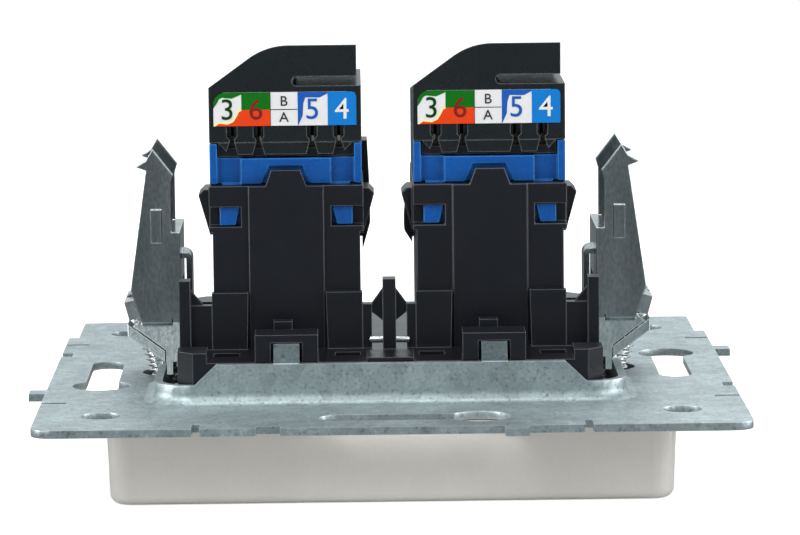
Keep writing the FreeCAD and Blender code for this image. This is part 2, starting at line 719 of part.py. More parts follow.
def rib_pin():
    """The bright cross pin that shows on both sides of the middle rib."""
    body = new_body("rib_pin")
    sketch = new_sketch(body, "YZ_Plane")
    circle(sketch, *pin_centre(), S.pin_radius)
    pad(body, sketch, S.pin_length, middle=True)
    return body


def jack_body(side):
    """The blue jack: a plug port at the front and a wider head that carries the wiring."""
    body = new_body(f"jack_body_{side}")
    half_x, half_y = S.jack_width / 2, S.jack_length / 2
    slab(body, -half_x, half_x, -half_y, half_y, jack_front, S.head_z)
    wide_x, wide_y = S.head_width / 2, S.head_length / 2
    slab(body, -wide_x, wide_x, -wide_y, wide_y, S.head_z, head_top)
    bar_top = S.head_z + S.bar_height
    notch = [
        (-S.notch_base / 2, S.head_z), (S.notch_base / 2, S.head_z),
        (S.notch_top / 2, S.head_z + S.notch_rise), (-S.notch_top / 2, S.head_z + S.notch_rise),
    ]
    for sign in ENDS.values():
        near, far = between(sign * (wide_y - S.head_recess), sign * wide_y)
        inner = wide_x - S.head_post
        recesses = [(*between(edge_sign * S.bar_width / 2, edge_sign * inner), near, far) for edge_sign in SIDES.values()]
        hollows(body, recesses, S.head_z, bar_top)
        near, far = between(sign * (wide_y - S.notch_depth), sign * wide_y)
        profile_xz(body, notch, near, far, cut=True)
    between_posts = wide_x - S.head_post
    hollow(body, -between_posts, between_posts, -wide_y, wide_y, bar_top, head_top)
    well_x, well_y = S.board_well_x / 2, S.board_well_y / 2
    hollow(body, -well_x, well_x, -well_y, well_y, board_z, bar_top)
    plug_port(body)
    window_catches(body)
    place(body, module_x[side])
    return body


def port_edges():
    """The near wall, the step to the latch channel and the far wall of the plug port."""
    near = -(S.port_length + S.latch_length) / 2
    return near, near + S.port_length, near + S.port_length + S.latch_length


def plug_port(body):
    near, step, far = port_edges()
    depth = jack_front + S.port_depth
    hollow(body, -S.port_width / 2, S.port_width / 2, near, step, jack_front, depth)
    hollow(body, -S.latch_width / 2, S.latch_width / 2, step, far, jack_front, depth)
    half = S.contact_slot_width / 2
    hollow(body, -half, half, near - S.contact_slot_back, near, S.wire_bottom - S.fit_gap, board_z)


def window_catches(body):
    """Tapered catches that snap into the windows of the holder."""
    half_y = S.jack_length / 2
    low = S.holder_window_z + S.seat_gap
    high = low + S.catch_height
    inner = S.holder_window_inner + S.seat_gap
    for sign in ENDS.values():
        face = between(sign * half_y, sign * (half_y + S.catch_reach))
        for edge_sign in SIDES.values():
            catch = [
                (edge_sign * (inner + S.catch_taper), low), (edge_sign * (inner + S.catch_width), low),
                (edge_sign * (inner + S.catch_width), high), (edge_sign * inner, high),
            ]
            profile_xz(body, catch, *face)


def jack_holder(side):
    """The black holder round a jack, with catch windows, latch hooks and a release lever."""
    body = new_body(f"jack_holder_{side}")
    low = S.base_top - S.seat_depth
    half_x = S.holder_width / 2
    slab(body, -half_x, half_x, -holder_face, holder_face, low, S.holder_top)
    band_low = S.holder_top - S.band_height
    half_band = S.band_width / 2
    slab(body, -half_band, half_band, -holder_face, holder_face, band_low, S.holder_top)
    half_panel = S.panel_width / 2
    slab(body, -half_panel, half_panel, -panel_face, panel_face, low, S.holder_top)
    hollow(body, -sleeve_x, sleeve_x, -sleeve_y, sleeve_y, low, S.holder_top)
    for sign in ENDS.values():
        near, far = between(sign * (holder_face - S.holder_window_wrap), sign * holder_face)
        for edge_sign in SIDES.values():
            left, right = between(edge_sign * S.holder_window_inner, edge_sign * half_band)
            top = S.holder_window_z + S.holder_window_height
            hollow(body, left, right, near, far, S.holder_window_z, top)
    raised_tab = [
        (-S.tab_base / 2, S.holder_top - S.tab_wall), (S.tab_base / 2, S.holder_top - S.tab_wall),
        (S.tab_base / 2, S.holder_top), (S.tab_top / 2, S.holder_top + S.tab_rise),
        (-S.tab_top / 2, S.holder_top + S.tab_rise), (-S.tab_base / 2, S.holder_top),
    ]
    for sign in ENDS.values():
        profile_xz(body, raised_tab, *between(sign * (panel_face - S.tab_wall), sign * panel_face))
    side_hooks(body)
    release_lever(body, side)
    place(body, module_x[side])
    return body


def side_hooks(body):
    """A tapered latch hook on each side of the holder's upper band."""
    half = S.band_width / 2
    for sign in SIDES.values():
        hook = [
            (sign * (half - S.hook_reach / 2), S.hook_bottom),
            (sign * half, S.hook_bottom),
            (sign * (half + S.hook_reach), S.hook_top - S.hook_reach / 2),
            (sign * (half + S.hook_reach / 2), S.hook_top),
            (sign * (half - S.hook_reach / 2), S.hook_top),
        ]
        profile_xz(body, hook, -S.hook_front, S.hook_length - S.hook_front)


def release_lever(body, side):
    """The flat lever beside the inner face, raised on the left module and down on the right one."""
    bottom = S.raised_lever_bottom if side == "left" else S.low_lever_bottom
    height = S.raised_lever_height if side == "left" else S.low_lever_height
    sign = -SIDES[side]
    inner = S.band_width / 2 - S.lever_gap
    outer = S.band_width / 2 + S.lever_wall
    blade = [
        (sign * inner, bottom), (sign * outer, bottom + height / 4), (sign * outer, bottom + height / 2),
        (sign * (outer - S.lever_wall / 3), bottom + height), (sign * inner, bottom + height),
    ]
    far = S.lever_front + S.lever_length
    profile_xz(body, blade, S.lever_front, far)
    ends = between(sign * (S.holder_width / 2 - S.lever_gap), sign * (inner + S.lever_gap))
    slab(body, *ends, S.lever_front, far, bottom + height / 8, S.holder_top - S.band_height)


def wiring_cap(side):
    """The black cap pressed over the wiring contacts, open below, with a cable slit in its side."""
    body = new_body(f"wiring_cap_{side}")
    half_x, half_y = S.cap_width / 2, cap_length / 2
    upper = half_x - S.cap_step
    ridge = S.cap_slope - half_x
    fall = cap_length * sine(S.cap_fall) / cosine(S.cap_fall)
    slit_low = cap_z + S.slit_rise
    slit_top = slit_low + S.slit_height
    shell = [
        (-half_x, cap_z), (half_x, cap_z), (half_x, slit_low + fall), (upper, slit_low + fall),
        (upper, cap_z + S.cap_height), (ridge, cap_z + S.cap_height), (-half_x, cap_z + S.cap_shoulder),
    ]
    sketch = new_sketch(body, "XZ_Plane", half_y)
    outline(sketch, shell)
    falling = pad(body, sketch, cap_length)
    falling.UseCustomVector = True
    falling.AlongSketchNormal = False
    falling.Direction = FreeCAD.Vector(0, cosine(S.cap_fall).number, -sine(S.cap_fall).number)
    bind(falling, "Direction.y", cosine(S.cap_fall))
    bind(falling, "Direction.z", -sine(S.cap_fall))
    bind(falling, "Length", cap_length / cosine(S.cap_fall))
    is_ridge = lambda e: near_to(e.Vertexes[0].X, ridge) and near_to(e.Vertexes[-1].X, ridge)
    round_edges(body, S.cap_bend, is_ridge)
    hollow(body, -half_x, half_x, -half_y, half_y, cap_z - fall, cap_z)
    inner_x, inner_y = half_x - S.cap_wall, half_y - S.cap_wall
    hollow(body, -inner_x, inner_x, -inner_y, inner_y, cap_z, cap_z + S.cap_cavity - fall / 2)
    step = [(*between(upper, half_x), -half_y, half_y)]
    hollows(body, step, slit_top, slit_low + fall)
    hollow(body, S.slit_start, half_x, -half_y, half_y, slit_low, slit_top)
    end = new_sketch(body, "XZ_Plane", -half_y)
    circle(end, S.slit_start, slit_low + S.slit_height / 2, S.slit_height / 2)
    pocket(body, end, cap_length)
    profiles_xz(body, [slot_outline(x) for x in wire_slots], -half_y, half_y, cut=True)
    cap_fingers(body)
    place(body, module_x[side])
    return body


def slot_outline(x):
    """A wire slot that narrows to a neck at the foot of the cap's wall."""
    neck, wide = S.wire_slot_neck / 2, S.wire_slot_width / 2
    waist = cap_z + S.neck_height
    shoulder = waist + wide - neck
    top = cap_z + S.wire_slot_height
    return [(x - neck, cap_z), (x + neck, cap_z), (x + neck, waist), (x + wide, shoulder), (x + wide, top),
            (x - wide, top), (x - wide, shoulder), (x - neck, waist)]


def cap_fingers(body):
    """Tapered fingers under the cap's near and far walls, between the wire slots."""
    half_x, half_y = S.cap_width / 2, cap_length / 2
    root = cap_z + S.finger_wall / 2
    low = cap_z - S.finger_drop
    gap = S.wire_slot_neck / 2
    taper = S.finger_taper
    fingers = []
    for left, right in zip(wire_slots, wire_slots[1:]):
        left, right = left + gap, right - gap
        fingers.append([(left, root), (left, cap_z), (left + taper, low), (right - taper, low),
                        (right, cap_z), (right, root)])
    for sign in SIDES.values():
        inner = S.wire_slot_outer + gap
        clear = half_x - S.head_post - S.seat_gap
        fingers.append([(sign * inner, root), (sign * inner, cap_z), (sign * (inner + taper), low + taper),
                        (sign * clear, cap_z), (sign * clear, root)])
    face = half_y - S.finger_step
    for sign in ENDS.values():
        profiles_xz(body, fingers, *between(sign * (face - S.finger_wall), sign * face))


def cap_label(side, end):
    """A thin coloured wiring label on one face of a cap."""
    body = new_body(f"cap_label_{end}_{side}")
    sign = ENDS[end]
    face = cap_length / 2
    near, far = between(sign * face, sign * (face + S.label_wall))
    half = S.label_width / 2
    low = cap_z + S.label_rise
    top = low + (S.label_height if end == "near" else S.far_label_height)
    cut = S.label_corner
    corners = [(-half, low), (half, low), (half, top - cut), (half - cut, top),
               (cut - half, top), (-half, top - cut)]
    profile_xz(body, corners, near, far)
    place(body, module_x[side])
    return body


def circuit_board(side):
    body = new_body(f"circuit_board_{side}")
    half_x, half_y = S.board_x / 2, S.board_y / 2
    slab(body, -half_x, half_x, -half_y, half_y, board_z, board_z + S.board_wall)
    place(body, module_x[side])
    return body


def port_contacts(side):
    """Eight spring wires that reach from the board into the plug port."""
    body = new_body(f"port_contacts_{side}", several=True)
    near = port_edges()[0]
    back = near - S.contact_slot_back / 2 - S.wire_width / 2
    front = back + S.wire_width
    tip = near + S.wire_bend_reach
    rise = S.wire_bend_z - S.wire_bottom
    wire = [
        (back, board_z), (back, S.wire_bottom), (front, S.wire_bottom), (tip, S.wire_bend_z),
        (tip, S.wire_bend_z + S.wire_width), (front, S.wire_bottom + rise / 4), (front, board_z),
    ]
    contacts = 8
    first = -S.wire_pitch * (contacts - 1) / 2
    sketch = new_sketch(body, "YZ_Plane", first - S.wire_width / 2)
    outline(sketch, wire)
    one = pad(body, sketch, S.wire_width)
    pattern = body.newObject("PartDesign::LinearPattern", "row_of_wires")
    pattern.Originals = [one]
    pattern.Direction = (sketch, ["N_Axis"])
    bind(pattern, "Length", S.wire_pitch * (contacts - 1))
    pattern.Occurrences = contacts
    body.Tip = pattern
    place(body, module_x[side])
    return body


def wiring_blades(side):
    """Two rows of forked blades that bite through a wire's insulation."""
    body = new_body(f"wiring_blades_{side}", several=True)
    low = board_z + S.board_wall
    blades = new_sketch(body, "XY_Plane", low)
    slits = new_sketch(body, "XY_Plane", low + S.blade_height - S.blade_slit_depth)
    for sign in ENDS.values():
        row = sign * S.blade_row / 2
        for x in wire_slots:
            box(blades, *span(x, S.blade_width), *span(row, S.blade_wall))
            box(slits, *span(x, S.blade_slit), *span(row, S.blade_wall))
    pad(body, blades, S.blade_height)
    pocket(body, slits, S.blade_slit_depth)
    place(body, module_x[side])
    return body


def wiring_block(side):
    """The black block over the board that holds the blades and guides each wire in a channel."""
    body = new_body(f"wiring_block_{side}")
    foot_x = S.head_width / 2 - S.head_post - S.block_play
    foot_y = S.head_length / 2 - S.head_recess
    top_x = S.cap_width / 2 - S.cap_wall - S.block_play
    top_y = cap_length / 2 - S.cap_wall - S.block_play
    floor = block_z + S.block_foot
    top = head_top + S.block_height
    slab(body, -foot_x, foot_x, -foot_y, foot_y, block_z, head_top)
    slab(body, -top_x, top_x, -top_y, top_y, head_top, top)
    channels = [(*span(x, S.channel_width), -foot_y, foot_y) for x in wire_slots]
    hollows(body, channels, floor, top)
    pockets = []
    for sign in ENDS.values():
        row = span(sign * S.blade_row / 2, S.blade_wall + 2 * S.block_play)
        pockets += [(*span(x, S.blade_width + 2 * S.block_play), *row) for x in wire_slots]
    hollows(body, pockets, block_z, top)
    place(body, module_x[side])
    return body


def claw(side):
    """A steel claw that hooks under the frame's sheet and swings outward into the wall box."""
    body = new_body(f"claw_{side}")
    sign = SIDES[side]
    flange = [
        (0, S.foot_rise), (S.foot_reach, S.foot_rise), (S.knee_reach, S.knee_rise), (S.root_reach, S.root_rise),
        (S.tooth_reach, S.tooth_rise), (S.valley_reach, S.valley_rise), (S.tip_reach, S.tip_rise),
        (-S.shoulder_back, S.shoulder_rise), (0, S.shoulder_rise - S.claw_sheet),
    ]
    apron_top = S.foot_rise + S.jog
    apron = [
        (0, apron_top), (S.foot_reach, apron_top), (S.lip_reach, S.lip_rise + S.jog), (S.lip_reach, S.lip_rise),
        (S.lip_root_reach, S.lip_root_rise), (0, S.lip_root_rise),
    ]
    lip_wall = S.claw_sheet * 5 / 4
    lip = [
        (S.lip_root_reach, S.lip_root_rise), (S.lip_reach, S.lip_rise), (S.lip_reach, S.lip_rise + lip_wall),
        (S.lip_root_reach, S.lip_root_rise + lip_wall),
    ]
    toe_top = -S.frame_sheet - S.leg_gap
    leg = [
        (0, S.lip_root_rise + S.jog), (S.leg_width, S.lip_root_rise + S.jog), (S.leg_width, toe_top),
        (S.leg_width + S.toe_reach, toe_top), (S.leg_width + S.toe_reach, toe_top - S.toe_height),
        (0, toe_top - S.toe_height),
    ]
    left, right = span(S.stamp_reach, S.stamp_width)
    low, high = span(S.stamp_rise, S.stamp_length)
    stamp = [(left, low), (right, low), (right, high), (left, high)]
    outer = S.claw_width / 2
    left, right = between(-sign * S.web_wall, sign * S.claw_sheet / 4)
    slab(body, left, right, -outer, outer, S.web_bottom, S.web_top)
    for end_sign in ENDS.values():
        plate = between(end_sign * (outer - S.claw_sheet), end_sign * outer)
        apron_plate = between(end_sign * (outer - S.jog - S.claw_sheet), end_sign * (outer - S.jog))
        for shape, planes in (
            (flange, plate),
            (apron, apron_plate),
            (leg, apron_plate),
            (lip, between(end_sign * (outer - S.lip_width), end_sign * outer)),
            (stamp, between(end_sign * outer, end_sign * (outer + S.stamp_height))),
        ):
            profile_xz(body, [(sign * x, z) for x, z in shape], *planes)
        strip = between(end_sign * (outer - S.jog - S.claw_sheet), end_sign * outer)
        slab(body, left, right, *strip, apron_top, S.web_bottom)
        slab(body, left, right, *apron_plate, S.lip_root_rise, apron_top)
    spring_tongue(body, sign)
    place(body, sign * claw_x, frame_top)
    return body


def spring_tongue(body, sign):
    """The tongue cut from the claw's web and bent inward and down like a hook."""
    outer = -S.web_wall / 2
    inner_leg = S.tongue_sheet - S.tongue_back
    under = S.tongue_arch - S.tongue_sheet
    hook = [
        (outer, S.tongue_arch), (-S.tongue_back, S.tongue_arch), (-S.tongue_back, S.tongue_end),
        (inner_leg, S.tongue_end), (inner_leg, under), (outer, under),
    ]
    half = S.tongue_span / 2
    profile_xz(body, [(sign * x, z) for x, z in hook], -half, half)
    arch = lambda e: is_along(e, 1) and near_to(abs(e.Vertexes[0].X), S.tongue_back) and near_to(
        e.Vertexes[0].Z, S.tongue_arch)
    round_edges(body, S.tongue_sheet * 3 / 2, arch)


def claw_screw(side):
    """A spreading screw; its head lies under the frame's sheet and its shank leans outward."""
    body = new_body(f"claw_screw_{side}")
    head = new_sketch(body, "XY_Plane")
    circle(head, 0, 0, S.head_radius)
    pad(body, head, S.head_wall, reverse=True)
    shank = new_sketch(body, "XY_Plane")
    circle(shank, 0, 0, S.screw_radius)
    pad(body, shank, S.screw_length)
    bevel_edges(body, S.screw_point, lambda e: all(near_to(v.Z, S.screw_length) for v in e.Vertexes))
    low = -S.head_wall
    half = S.drive_width / 2
    hollow(body, -S.head_radius, S.head_radius, -half, half, low, low + S.drive_depth)
    hollow(body, -half, half, -S.head_radius, S.head_radius, low, low + S.drive_depth)
    place(body, SIDES[side] * screw_x, screw_z, S.screw_tilt, SIDES[side])
    return body


def claw_nut(side):
    """The square nut that rides on the screw and presses on both lips of the claw."""
    body = new_body(f"claw_nut_{side}")
    half_x, half_y = S.nut_width / 2, S.nut_span / 2
    slab(body, -half_x, half_x, -half_y, half_y, S.nut_place, S.nut_place + S.nut_wall)
    bore = new_sketch(body, "XY_Plane", S.nut_place)
    circle(bore, 0, 0, S.screw_radius + S.bore_clearance)
    pocket(body, bore, S.nut_wall)
    place(body, SIDES[side] * screw_x, screw_z, S.screw_tilt, SIDES[side])
    return body


def build_pieces():
    pieces = [front_cover(), mounting_frame(), base_housing(), rib_pin()]
    for side in SIDES:
        pieces += [jack_body(side), jack_holder(side), wiring_cap(side)]
        pieces += [cap_label(side, end) for end in ENDS]
        pieces += [circuit_board(side), port_contacts(side), wiring_blades(side), wiring_block(side)]
        pieces += [claw(side), claw_screw(side), claw_nut(side)]
    return pieces


def check_features():
    doc.recompute()
    for thing in doc.Objects:
        if {"Invalid", "Error"} & set(thing.State):
            raise RuntimeError(f"{thing.Name} failed: {thing.State}")
        if thing.TypeId == "PartDesign::Pocket" and thing.Shape.Volume >= thing.BaseFeature.Shape.Volume:
            raise RuntimeError(f"{thing.Name} cuts nothing")


def write_pieces(pieces):
    check_features()
    os.makedirs("parts", exist_ok=True)
    for piece in pieces:
        shape = piece.Shape
        if shape.isNull() or not shape.isValid():
            raise RuntimeError(f"{piece.Label} has no valid shape")
        shape.exportStep(f"parts/{piece.Label}.step")
        print(f"{piece.Label}: {len(shape.Solids)} solids, {shape.Volume:.1f} mm3")


write_pieces(build_pieces())
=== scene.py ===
import math
import bmesh
import bpy
from mathutils import Matrix, Vector


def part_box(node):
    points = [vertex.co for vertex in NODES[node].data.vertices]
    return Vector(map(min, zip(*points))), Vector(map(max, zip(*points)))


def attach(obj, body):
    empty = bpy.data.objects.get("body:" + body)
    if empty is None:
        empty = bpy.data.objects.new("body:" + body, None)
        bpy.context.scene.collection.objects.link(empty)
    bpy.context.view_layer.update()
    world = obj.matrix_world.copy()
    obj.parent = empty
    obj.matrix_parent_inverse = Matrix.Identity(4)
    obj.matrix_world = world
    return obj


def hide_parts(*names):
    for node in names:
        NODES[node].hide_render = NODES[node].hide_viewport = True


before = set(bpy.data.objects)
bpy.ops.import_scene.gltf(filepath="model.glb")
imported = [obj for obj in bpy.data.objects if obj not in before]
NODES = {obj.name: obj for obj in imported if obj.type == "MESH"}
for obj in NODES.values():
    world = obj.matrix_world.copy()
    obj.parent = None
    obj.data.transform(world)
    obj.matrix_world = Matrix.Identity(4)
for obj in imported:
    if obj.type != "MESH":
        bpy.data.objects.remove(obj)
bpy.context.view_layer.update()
MM = 0.001
SIDES = {"left": -1, "right": 1}
ENDS = {"near": -1, "far": 1}

# painted edge highlights: the cosines of the turn at which the painted highlight starts and is full, and
# the highlight colour's share
HIGHLIGHT_START, HIGHLIGHT_FULL = 0.995, 0.85
HIGHLIGHT_SHARE = 0.85
EDGE_SAMPLES = 4

# shading of folded steel: the level of the fold, the fall of the band below it (negative where
# the band rises) and its slope outward
CLAW_FOLD, CLAW_FALL, CLAW_SLOPE = 15.1, 5.5, 0.5
TONGUE_FOOT, TONGUE_FALL, TONGUE_SLOPE = 13.2, -2.2, -1.6


# materials

class Shader:
    """A node material with one Principled shader, built up step by step."""

    def __init__(self, name, color, roughness, metallic=0.0, specular=0.5):
        self.material = bpy.data.materials.new(name)
        self.material.use_nodes = True
        self.tree = self.material.node_tree
        self.shader = self.tree.nodes["Principled BSDF"]
        self.color = color
        self.roughness = roughness
        self.shader.inputs["Metallic"].default_value = metallic
        self.shader.inputs["Specular IOR Level"].default_value = specular
        self.place = self.tree.nodes.new("ShaderNodeTexCoord").outputs["Object"]
        self.bump = None

    def noise(self, size, detail=4.0, stretch=(1, 1, 1)):
        """A noise whose features are about size millimetres wide."""
        mapping = self.tree.nodes.new("ShaderNodeMapping")
        mapping.inputs["Scale"].default_value = stretch
        self.tree.links.new(self.place, mapping.inputs["Vector"])
        noise = self.tree.nodes.new("ShaderNodeTexNoise")
        noise.inputs["Scale"].default_value = 1 / (size * MM)
        noise.inputs["Detail"].default_value = detail
        self.tree.links.new(mapping.outputs["Vector"], noise.inputs["Vector"])
        return noise.outputs["Fac"]

    def cells(self, size):
        """Random grey for each cell of about size millimetres."""
        cells = self.tree.nodes.new("ShaderNodeTexVoronoi")
        cells.inputs["Scale"].default_value = 1 / (size * MM)
        self.tree.links.new(self.place, cells.inputs["Vector"])
        split = self.tree.nodes.new("ShaderNodeSeparateColor")
        self.tree.links.new(cells.outputs["Color"], split.inputs["Color"])
        return split.outputs["Red"]

    def ramp(self, source, stops):
        """Colours along a grey source, as (position, colour) stops."""
        ramp = self.tree.nodes.new("ShaderNodeValToRGB")
        ramp.color_ramp.elements[0].position = stops[0][0]
        ramp.color_ramp.elements[1].position = stops[-1][0]
        for position, _ in stops[1:-1]:
            ramp.color_ramp.elements.new(position)
        for element, (_, color) in zip(ramp.color_ramp.elements, stops):
            element.color = (*color, 1) if isinstance(color, tuple) else (color, color, color, 1)
        self.tree.links.new(source, ramp.inputs["Fac"])
        return ramp.outputs["Color"]

    def tint(self, source, stops):
        """Multiply the colour so far by a ramp over the source."""
        mix = self.tree.nodes.new("ShaderNodeMix")
        mix.data_type = "RGBA"
        mix.blend_type = "MULTIPLY"
        mix.inputs["Factor"].default_value = 1.0
        if isinstance(self.color, tuple):
            mix.inputs["A"].default_value = (*self.color, 1)
        else:
            self.tree.links.new(self.color, mix.inputs["A"])
        self.tree.links.new(self.ramp(source, stops), mix.inputs["B"])
        self.color = mix.outputs["Result"]
        return self

    def paint_edge_highlight(self, radius, color):
        """A painted highlight: a lighter colour where the surface turns within radius millimetres."""
        rounded = self.tree.nodes.new("ShaderNodeBevel")
        rounded.samples = EDGE_SAMPLES
        rounded.inputs["Radius"].default_value = radius * MM
        facing = self.tree.nodes.new("ShaderNodeNewGeometry")
        match = self.tree.nodes.new("ShaderNodeVectorMath")
        match.operation = "DOT_PRODUCT"
        self.tree.links.new(rounded.outputs["Normal"], match.inputs[0])
        self.tree.links.new(facing.outputs["True Normal"], match.inputs[1])
        highlight_mask = self.tree.nodes.new("ShaderNodeMapRange")
        highlight_mask.inputs["From Min"].default_value = HIGHLIGHT_START
        highlight_mask.inputs["From Max"].default_value = HIGHLIGHT_FULL
        highlight_mask.inputs["To Max"].default_value = HIGHLIGHT_SHARE
        self.tree.links.new(match.outputs["Value"], highlight_mask.inputs["Value"])
        mix = self.tree.nodes.new("ShaderNodeMix")
        mix.data_type = "RGBA"
        self.tree.links.new(highlight_mask.outputs["Result"], mix.inputs["Factor"])
        self.tree.links.new(self.color, mix.inputs["A"])
        mix.inputs["B"].default_value = (*color, 1)
        self.color = mix.outputs["Result"]
        return self

    def vary_roughness(self, source, low, high):
        spread = self.tree.nodes.new("ShaderNodeMapRange")
        spread.inputs["To Min"].default_value = low
        spread.inputs["To Max"].default_value = high
        self.tree.links.new(source, spread.inputs["Value"])
        self.roughness = spread.outputs["Result"]
        return self

    def relief(self, source, height, strength=1.0):
        """Bump of the given height in millimetres."""
        bump = self.tree.nodes.new("ShaderNodeBump")
        bump.inputs["Distance"].default_value = height * MM
        bump.inputs["Strength"].default_value = strength
        self.tree.links.new(source, bump.inputs["Height"])
        if self.bump is not None:
            self.tree.links.new(self.bump, bump.inputs["Normal"])
        self.bump = bump.outputs["Normal"]
        return self

    def lean(self, level, fall, slope):
        """Shade the band from a level down by the fall as a facet that leans out by the slope."""
        split = self.tree.nodes.new("ShaderNodeSeparateXYZ")
        self.tree.links.new(self.place, split.inputs["Vector"])
        depth = self.tree.nodes.new("ShaderNodeMapRange")
        depth.inputs["From Min"].default_value = level * MM
        depth.inputs["From Max"].default_value = (level - fall) * MM
        self.tree.links.new(split.outputs["Z"], depth.inputs["Value"])
        return self.relief(depth.outputs["Result"], fall * slope)

    def done(self):
        if isinstance(self.color, tuple):
            self.shader.inputs["Base Color"].default_value = (*self.color, 1)
        else:
            self.tree.links.new(self.color, self.shader.inputs["Base Color"])
        if isinstance(self.roughness, float):
            self.shader.inputs["Roughness"].default_value = self.roughness
        else:
            self.tree.links.new(self.roughness, self.shader.inputs["Roughness"])
        if self.bump is not None:
            self.tree.links.new(self.bump, self.shader.inputs["Normal"])
        return self.material


def moulded(name, color, low=0.34, high=0.5, specular=0.5, mottle=0.1, edge=None):
    """Moulded plastic: faint flow shades, fine grain, uneven gloss and, given an edge colour, a painted
    highlight along its edges.
    """
    s = Shader(name, color, low, specular=specular)
    s.tint(s.noise(6.0, 3), [(0.3, 1 - mottle), (0.7, 1 + mottle)])
    s.tint(s.noise(0.5, 2), [(0.35, 1 - mottle / 2), (0.65, 1 + mottle / 2)])
    # edge: the colour of a painted highlight along the turned edges
    if edge:
        s.paint_edge_highlight(0.14, edge)
    s.vary_roughness(s.noise(1.5, 4), low, high)
    s.relief(s.noise(0.16, 2), 0.004)
    return s.done()


def galvanised():
    s = Shader("galvanised_sheet", (0.42, 0.49, 0.505), 0.4, metallic=0.8)
    s.tint(s.cells(1.1), [(0.0, 0.84), (1.0, 1.06)])
    s.tint(s.noise(7.0, 5), [(0.3, 0.84), (0.7, 1.1)])
    s.tint(s.noise(0.35, 3), [(0.32, 0.6), (0.42, 0.95), (0.6, 1.0), (0.72, 1.25)])
    # lighter colour on the sheet's edges: painted highlight
    s.paint_edge_highlight(0.12, (0.75, 0.8, 0.82))
    s.lean(TONGUE_FOOT, TONGUE_FALL, TONGUE_SLOPE)
    s.vary_roughness(s.noise(1.2, 5), 0.36, 0.56)
    s.relief(s.noise(0.4, 3), 0.012)
    return s.done()


def strip_steel():
    s = Shader("claw_strip", (0.5, 0.535, 0.54), 0.3, metallic=1.0)
    s.tint(s.noise(5.0, 5, (1, 1, 0.35)), [(0.3, 0.7), (0.7, 1.15)])
    s.tint(s.noise(0.3, 3, (1, 1, 0.5)), [(0.35, 0.82), (0.6, 1.05)])
    # near-white colour on the claw's edges: painted highlight
    s.paint_edge_highlight(0.26, (0.92, 0.97, 1.0))
    s.lean(CLAW_FOLD, CLAW_FALL, CLAW_SLOPE)
    s.vary_roughness(s.noise(2.0, 4), 0.12, 0.24)
    s.relief(s.noise(0.5, 3), 0.008)
    return s.done()


def bright_zinc():
    s = Shader("bright_zinc", (0.66, 0.68, 0.68), 0.25, metallic=1.0)
    s.tint(s.noise(1.0, 4), [(0.3, 0.75), (0.7, 1.1)])
    s.vary_roughness(s.noise(0.6, 3), 0.16, 0.34)
    return s.done()


def plated(name, color):
    s = Shader(name, color, 0.25, metallic=1.0)
    s.tint(s.noise(0.8, 3), [(0.3, 0.85), (0.7, 1.08)])
    s.vary_roughness(s.noise(0.5, 3), 0.18, 0.35)
    return s.done()


def board_green():
    s = Shader("board_green", (0.03, 0.2, 0.08), 0.35)
    s.tint(s.noise(0.7, 2), [(0.45, 0.75), (0.5, 1.15)])
    s.vary_roughness(s.noise(1.0, 3), 0.28, 0.45)
    return s.done()


def print_ink(name, color):
    """Ink on film: nearly even, with a faint grain of the print."""
    s = Shader(name, color, 0.4, specular=0.2)
    s.tint(s.noise(0.12, 2), [(0.3, 0.94), (0.7, 1.03)])
    s.vary_roughness(s.noise(2.0, 2), 0.32, 0.45)
    return s.done()


# the edge colours below are painted highlights on the edges of the plastics
BLACK = moulded("black_moulding", (0.008, 0.009, 0.013), 0.24, 0.36, 0.4, edge=(0.2, 0.21, 0.22))
CAP_BLACK = moulded("cap_black_moulding", (0.008, 0.011, 0.013), 0.22, 0.34, 0.4, edge=(0.24, 0.25, 0.25))
BLUE = moulded("blue_moulding", (0.0, 0.075, 0.32), 0.22, 0.34, 0.3, edge=(0.1, 0.42, 0.85))
COVER = moulded("cover_moulding", (0.63, 0.605, 0.56), 0.3, 0.42, 0.5, 0.02)
SHEET = galvanised()
STRIP = strip_steel()
ZINC = bright_zinc()
CONTACT = plated("gold_plated_contact", (0.83, 0.62, 0.28))
# tin-plated wiring blades, coloured near black as painted shade for the deep wire slots
BLADE_PAINTED_SHADE = plated("tinned_blade_painted_shade", (0.1, 0.1, 0.095))
BOARD = board_green()
INKS = {
    "white": print_ink("film_white", (0.7, 0.7, 0.7)),
    "green": print_ink("ink_green", (0.0, 0.14, 0.002)),
    "orange": print_ink("ink_orange", (0.7, 0.045, 0.002)),
    "blue": print_ink("ink_blue", (0.005, 0.09, 0.4)),
    "sky": print_ink("ink_sky", (0.0, 0.17, 0.54)),
    "black": print_ink("ink_black", (0.03, 0.03, 0.035)),
    "dark_green": print_ink("ink_dark_green", (0.0, 0.05, 0.0)),
    "dark_red": print_ink("ink_dark_red", (0.2, 0.01, 0.01)),
    "straw": print_ink("ink_straw", (0.9, 0.78, 0.35)),
    "brown": print_ink("ink_brown", (0.2, 0.07, 0.02)),
}


SEAM_GAP = 0.001
FLAT_DEGREES, EDGE_DEGREES = 0.6, 28


def dress(node, material, bevel=0.0, segments=2):
    """Give a CAD node its material and break its sharp edges a little."""
    obj = NODES[node]
    obj.data.materials.clear()
    obj.data.materials.append(material)
    if bevel:
        join = obj.modifiers.new("seams", "WELD")
        join.merge_threshold = SEAM_GAP * MM
        clean = obj.modifiers.new("flats", "DECIMATE")
        clean.decimate_type = "DISSOLVE"
        clean.angle_limit = math.radians(FLAT_DEGREES)
        edge = obj.modifiers.new("edges", "BEVEL")
        edge.width = bevel * MM
        edge.segments = segments
        edge.limit_method = "ANGLE"
        edge.angle_limit = math.radians(EDGE_DEGREES)
        edge.harden_normals = True
    return obj


# pieces of the source with their materials and edge breaks in millimetres

